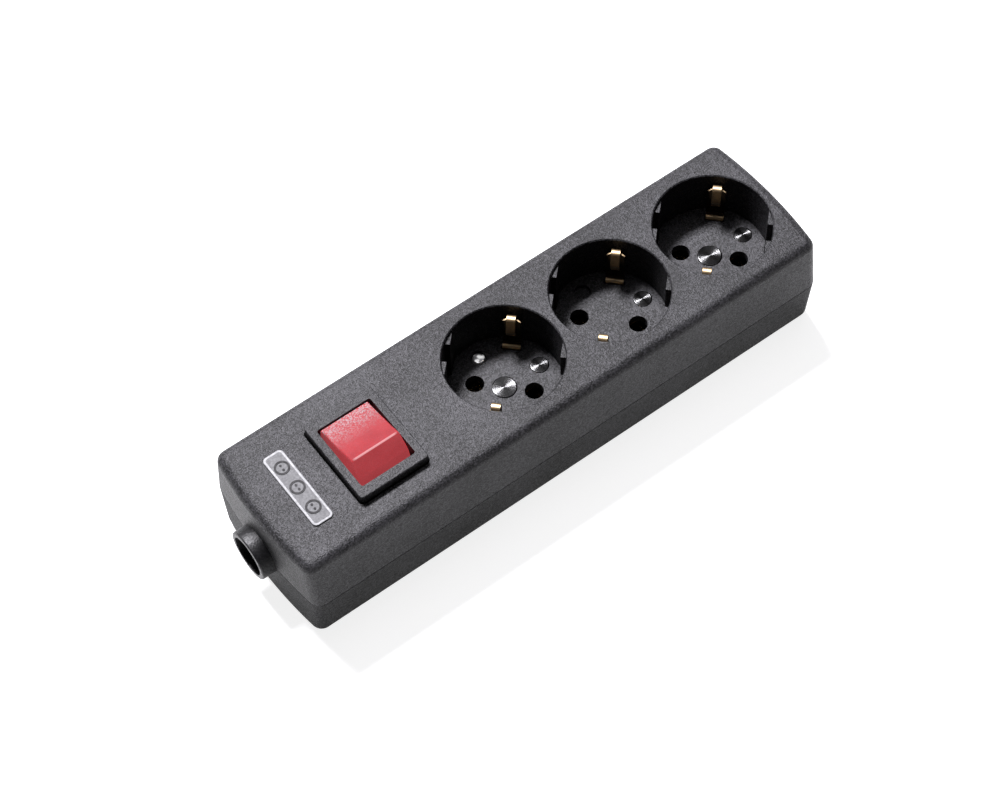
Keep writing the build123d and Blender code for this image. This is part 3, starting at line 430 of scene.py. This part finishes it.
heads = bmesh.new()
for x in SOCKET_X:
    profile = turned_head(SIDE_HEAD_R, FLOOR_Z + SIDE_HEAD_LIFT, FLOOR_Z - HEAD_SEAT, pitch=0.24)
    lathe(heads, profile, (x + SIDE_HEAD_AT, 0))
finish_piece("side_heads", heads, MATS["turned"], "housing", ["side_rivets"])


def rounded(points, bend, steps=6):
    """The points of a polyline with arcs of radius bend at its corners."""
    path = [Vector(points[0])]
    for before, corner, after in zip(points, points[1:], points[2:]):
        corner = Vector(corner)
        back_way = (Vector(before) - corner).normalized()
        on_way = (Vector(after) - corner).normalized()
        half = back_way.angle(on_way) / 2
        reach = bend / math.tan(half)
        hub = corner + (back_way + on_way).normalized() * bend / math.sin(half)
        start = corner + back_way * reach - hub
        end = corner + on_way * reach - hub
        for k in range(steps + 1):
            path.append(hub + start.slerp(end, k / steps))
    path.append(Vector(points[-1]))
    return path


def strip(bm, path, width, thick, to_world, cup=None, lift=None, painted_shade=None):
    """Adds a bent strip: path in (u, z), w across it; cup bends it over w, lift moves its ends."""
    # Per-vertex share of painted shade, read by the clip's material
    layer = bm.verts.layers.float.get("painted_shade") or bm.verts.layers.float.new("painted_shade")
    edge = 0.12
    half = width / 2
    spans = [-1 + 2 * k / 8 for k in range(9)]
    across = [(half, 0.5 - edge / thick), (half - edge, 0.5)]
    section = [(half - edge) * s for s in reversed(spans[1:-1])]
    loop = across + [(w, 0.5) for w in section] + [(-w, h) for w, h in reversed(across)]
    loop += [(-w, -h) for w, h in across] + [(-w, -0.5) for w in section]
    loop += [(w, -h) for w, h in reversed(across)]
    rings = []
    for i, point in enumerate(path):
        ahead = path[min(i + 1, len(path) - 1)] - path[max(i - 1, 0)]
        normal = Vector((ahead.y, -ahead.x)).normalized()
        ring = []
        for w, h in loop:
            spot = point + normal * h * thick
            if cup is not None:
                spot = spot + Vector((cup(w, spot.y) * (-1 if spot.x > 0 else 1), 0))
            if lift is not None and i in (0, len(path) - 1):
                spot = spot + Vector((0, lift(w)))
            vert = bm.verts.new(to_world(spot.x, w, spot.y))
            if painted_shade is not None:
                vert[layer] = painted_shade(spot.x, spot.y)
            ring.append(vert)
        rings.append(ring)
    count = len(loop)
    for first, second in zip(rings, rings[1:]):
        for k in range(count):
            n = (k + 1) % count
            bm.faces.new((first[k], first[n], second[n], second[k]))
    bm.faces.new(rings[0])
    bm.faces.new(list(reversed(rings[-1])))


strap_path = [(-CLIP_R, CLIP_TOP), (-CLIP_R, CLIP_WAIST), (-CLIP_R, LEDGE_Z), (-CLIP_IN, LEDGE_Z),
              (-CLIP_IN, STRAP_Z), (CLIP_IN, STRAP_Z), (CLIP_IN, LEDGE_Z), (CLIP_R, LEDGE_Z),
              (CLIP_R, CLIP_WAIST), (CLIP_R, CLIP_TOP)]
tongue_path = [(CLIP_R, TONGUE_FOOT), (CLIP_R, TONGUE_TOP)]
tongue_path += [(CLIP_R - inward, TONGUE_TOP - down) for inward, down in TONGUE_FOLD]
for number, x in enumerate(SOCKET_X, start=1):
    clip = bmesh.new()

    def to_world(u, w, z, x=x):
        turn = math.radians(45.0)
        return (x + u * math.cos(turn) - w * math.sin(turn), u * math.sin(turn) + w * math.cos(turn), z)

    # The upright legs are cupped from z 24 up and carry painted shade below their tips; each tip is 1 mm
    # higher in the middle than at its edges
    flat = rounded(strap_path[:2], CLIP_BEND) + rounded(strap_path[1:9], CLIP_BEND)[1:-1]
    flat += rounded(strap_path[8:], CLIP_BEND)
    strip(clip, flat, CLIP_WIDTH, CLIP_THICK, to_world,
          cup=lambda w, z: 0.3 * (w / (CLIP_WIDTH / 2)) ** 2 * clamp((z - 24.0) / 3.0),
          lift=lambda w: 0.45 - clamp((abs(w) - 1.4) / 1.6),
          painted_shade=lambda u, z: clamp((abs(u) - 15.9) / 0.4) * clamp((35.6 - z) / 0.4, low=0.35))
    # The tongues' painted shade grows towards their foot, deep in the well
    for side in (1, -1):
        fold = [(side * u, z) for u, z in tongue_path]
        strip(clip, rounded(fold, TONGUE_BEND), TONGUE_WIDTH, TONGUE_THICK, to_world,
              painted_shade=lambda u, z: clamp((36.2 - z) / 2.0, high=0.55))
    finish_piece(f"clip_{number}", clip, MATS["clip"], "housing", [f"earth_clip_{number}"],
                 40.0)

# Grey panel set in the middle of the badge
panel = bmesh.new()
corners = corner_ring((BADGE_X, 0), PANEL_REACH, PANEL_CORNER, 6)
low, high = ([panel.verts.new((px, py, z)) for px, py in corners] for z in PANEL_Z)
panel.faces.new(high)
for k in range(len(corners)):
    n = (k + 1) % len(corners)
    panel.faces.new((low[k], low[n], high[n], high[k]))
finish_piece("badge_panel", panel, MATS["badge_panel"], "housing")

# Dark strip where the switch frame meets the housing: the joint line and painted contact shadow beside
# it
seam = bmesh.new()
reach = [span / 2 - BEZEL_CORNER for span in BEZEL_SPAN]
loops = []
for grow, z in ((0.0, JOINT_Z[1]), (JOINT_WIDTH, JOINT_Z[1]), (JOINT_WIDTH, JOINT_Z[0]),
                (0.0, JOINT_Z[0])):
    ring = corner_ring(SWITCH_AT, reach, BEZEL_CORNER + grow, 4)
    loops.append([seam.verts.new((px, py, z)) for px, py in ring])
for first, second in zip(loops, loops[1:] + loops[:1]):
    for k in range(len(first)):
        n = (k + 1) % len(first)
        seam.faces.new((first[k], second[k], second[n], first[n]))
finish_piece("bezel_joint_and_shadow", seam, MATS["joint"], "housing")

# ---------------------------------------------------------------- floor, light and camera
floor_mesh = bpy.data.meshes.new("floor")
FLOOR_DROP, FLOOR_HALF = 0.3 * MM, 3
floor_mesh.from_pydata([(x * FLOOR_HALF, y * FLOOR_HALF, -FLOOR_DROP)
                        for x, y in ((-1, -1), (1, -1), (1, 1), (-1, 1))], [], [(0, 1, 2, 3)])
floor = bpy.data.objects.new("floor", floor_mesh)
bpy.context.scene.collection.objects.link(floor)
floor_mat, floor_tree, floor_bsdf = new_material("floor_paper")
floor_coord = place(floor_tree)
join(floor_tree, ramp(floor_tree, noise(floor_tree, floor_coord, 0.4), [(0.3, 0.40), (0.7, 0.42)]),
     floor_bsdf.inputs["Base Color"])
floor_bsdf.inputs["Roughness"].default_value = 1.0
floor_bsdf.inputs["Specular IOR Level"].default_value = 0.0
floor_bsdf.inputs["Emission Color"].default_value = (1, 1, 1, 1)
floor_bsdf.inputs["Emission Strength"].default_value = FLOOR_GLOW
floor_mesh.materials.append(floor_mat)


def area_light(name, towards, distance, size, power):
    """A rectangular softbox that faces the origin from a direction; metres and watts."""
    data = bpy.data.lights.new(name, "AREA")
    data.shape = "RECTANGLE"
    data.size, data.size_y = size
    data.energy = power
    data.color = (1.0, 0.985, 1.04)
    lamp = bpy.data.objects.new(name, data)
    bpy.context.scene.collection.objects.link(lamp)
    ray = Vector(towards).normalized()
    lamp.location = ray * distance
    lamp.rotation_mode = "QUATERNION"
    lamp.rotation_quaternion = (-ray).to_track_quat("-Z", "Y")


area_light("softbox_top", towards=(0.03, 0.47, 0.88), distance=1.3, size=(0.44, 0.2), power=66)
area_light("fill_overhead", towards=(0.15, 0.2, 0.95), distance=1.2, size=(0.8, 0.8), power=3.5)

world = bpy.data.worlds.new("studio")
world.use_nodes = True
world.node_tree.nodes["Background"].inputs["Color"].default_value = (1, 1, 1, 1)
world.node_tree.nodes["Background"].inputs["Strength"].default_value = SURROUNDINGS
bpy.context.scene.world = world

AZ, EL, ROLL = math.radians(-34.700), math.radians(58.164), math.radians(-2.242)
TARGET = Vector((-17.48, -11.85, 40.0)) * MM
DISTANCE = 748.33 * MM
FOCAL_SHARE = 2443.8 / 1000.0
back = Vector((math.sin(AZ) * math.cos(EL), -math.cos(AZ) * math.cos(EL), math.sin(EL)))
right = Vector((0, 0, 1)).cross(back).normalized()
up = back.cross(right)
cam_x = right * math.cos(ROLL) + up * math.sin(ROLL)
cam_y = up * math.cos(ROLL) - right * math.sin(ROLL)
camera_data = bpy.data.cameras.new("camera")
camera_data.sensor_width = SENSOR_WIDTH
camera_data.lens = SENSOR_WIDTH * FOCAL_SHARE
camera_data.clip_start = 0.01
camera_data.clip_end = 20.0
camera = bpy.data.objects.new("camera", camera_data)
bpy.context.scene.collection.objects.link(camera)
camera.matrix_world = Matrix((
    (cam_x.x, cam_y.x, back.x, 0), (cam_x.y, cam_y.y, back.y, 0), (cam_x.z, cam_y.z, back.z, 0),
    (0, 0, 0, 1)))
camera.location = TARGET + back * DISTANCE
bpy.context.scene.camera = camera
bpy.context.scene.view_settings.view_transform = "Standard"
bpy.context.scene.view_settings.look = "None"
